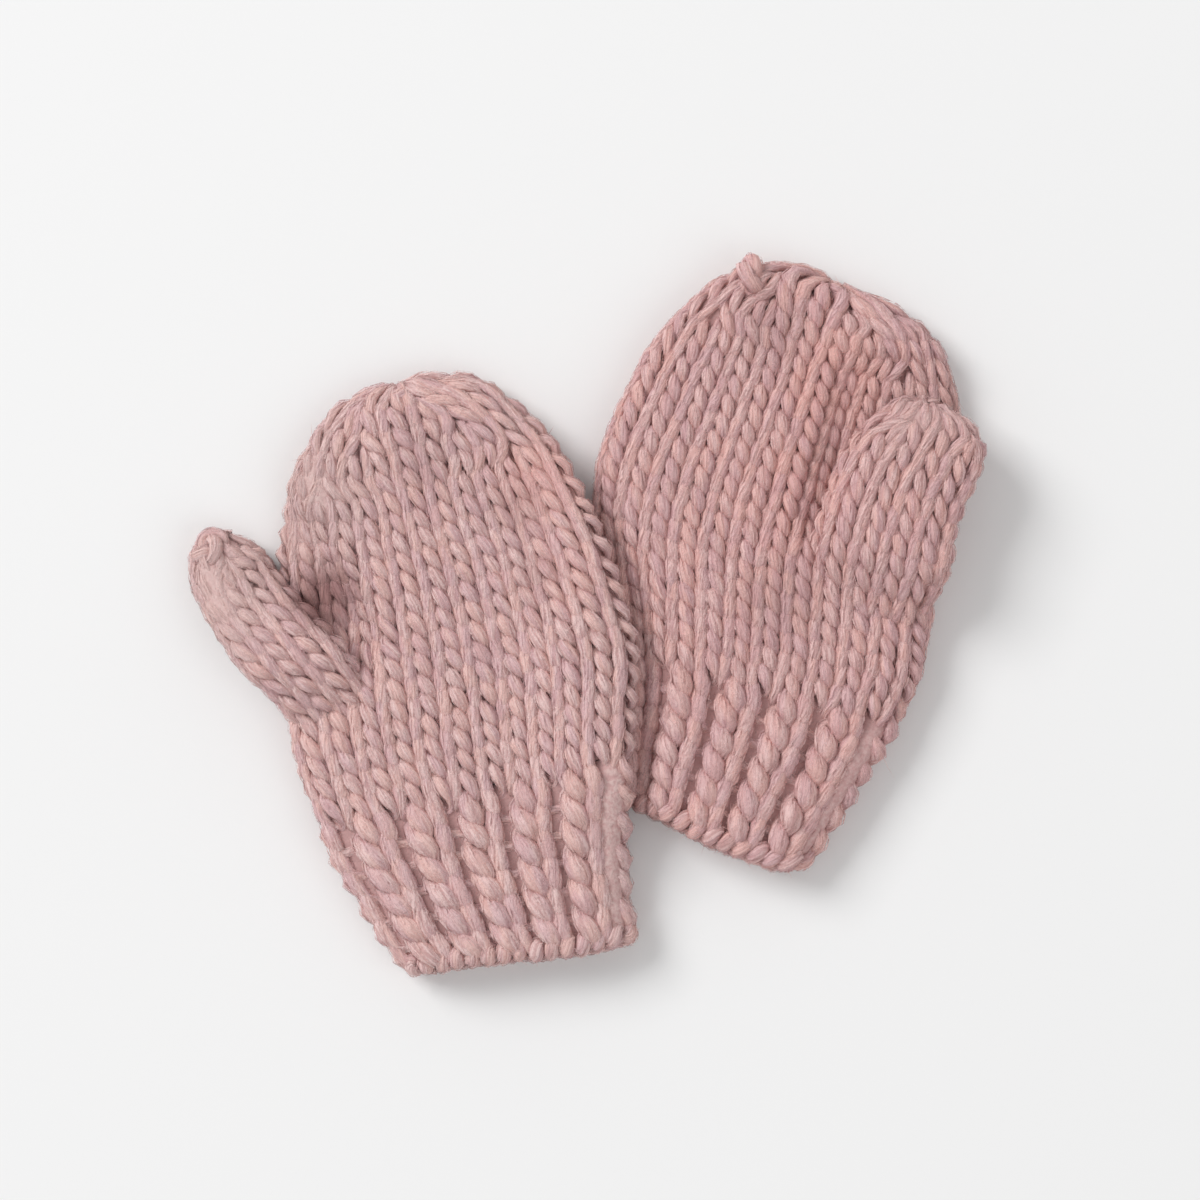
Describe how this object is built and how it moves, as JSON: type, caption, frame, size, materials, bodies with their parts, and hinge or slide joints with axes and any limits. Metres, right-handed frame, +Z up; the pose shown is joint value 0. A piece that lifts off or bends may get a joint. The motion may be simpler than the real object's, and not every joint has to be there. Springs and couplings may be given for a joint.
{
  "type": "pair of mittens",
  "caption": "Pair of chunky hand-knitted child's mittens laid flat, one overlapping the other, with ribbed open cuffs, stockinette hands and knitted thumbs.",
  "frame": {"origin": "middle of the pair's outline on the surface it lies on", "axes": "+X to the right and +Y to the top of the pair as seen from above with the cuffs towards the viewer, +Z up from the surface"},
  "size_m": [0.2043, 0.1845, 0.0241],
  "materials": {
    "left_wool": "matte",
    "right_wool": "matte"
  },
  "bodies": {
    "root": {"left_cuff": "left_wool", "left_hand": "left_wool", "left_thumb": "left_wool", "right_cuff": "right_wool", "right_hand": "right_wool", "right_thumb": "right_wool"}
  },
  "joints": []
}
